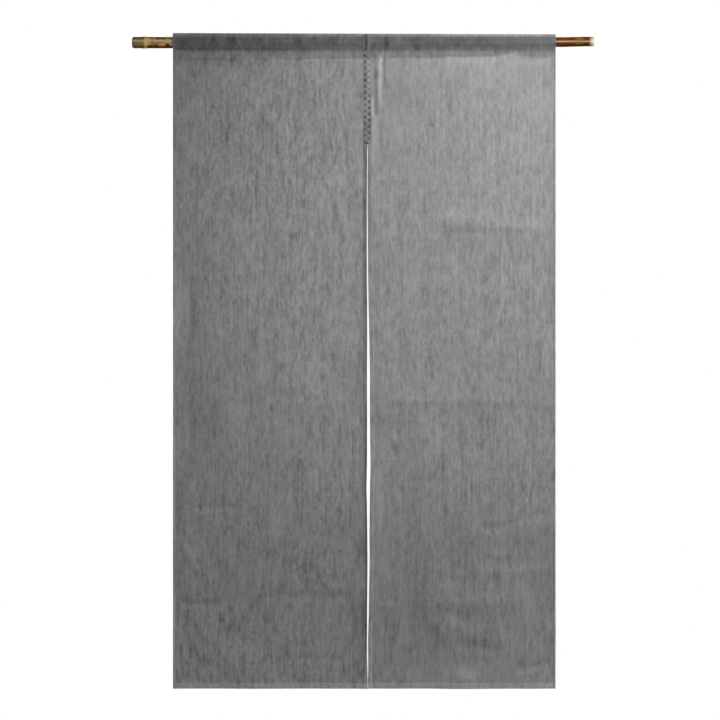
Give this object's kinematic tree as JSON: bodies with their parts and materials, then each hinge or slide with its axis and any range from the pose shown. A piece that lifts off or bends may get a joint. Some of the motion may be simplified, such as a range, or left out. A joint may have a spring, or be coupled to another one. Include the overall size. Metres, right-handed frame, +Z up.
{
  "type": "noren curtain on a bamboo rod",
  "caption": "Plain grey hemp noren: panels joined at the top and slit below, hung by a sewn pocket on a natural bamboo rod, with hems and soft press creases.",
  "frame": {"origin": "middle of the rod's axis", "axes": "+X along the rod towards its thin hollow end, +Z up, the cloth's front faces -Y"},
  "size_m": [1.0556, 0.0304, 1.5],
  "materials": {
    "hemp_cloth": "heathered grey plain weave, matt, lets some light through",
    "sewing_thread": "dark grey spun thread, matt",
    "bamboo": "mottled natural bamboo, satin"
  },
  "bodies": {
    "root": {"left_panel": "hemp_cloth", "right_panel": "hemp_cloth", "bamboo_rod": "bamboo"}
  },
  "joints": []
}
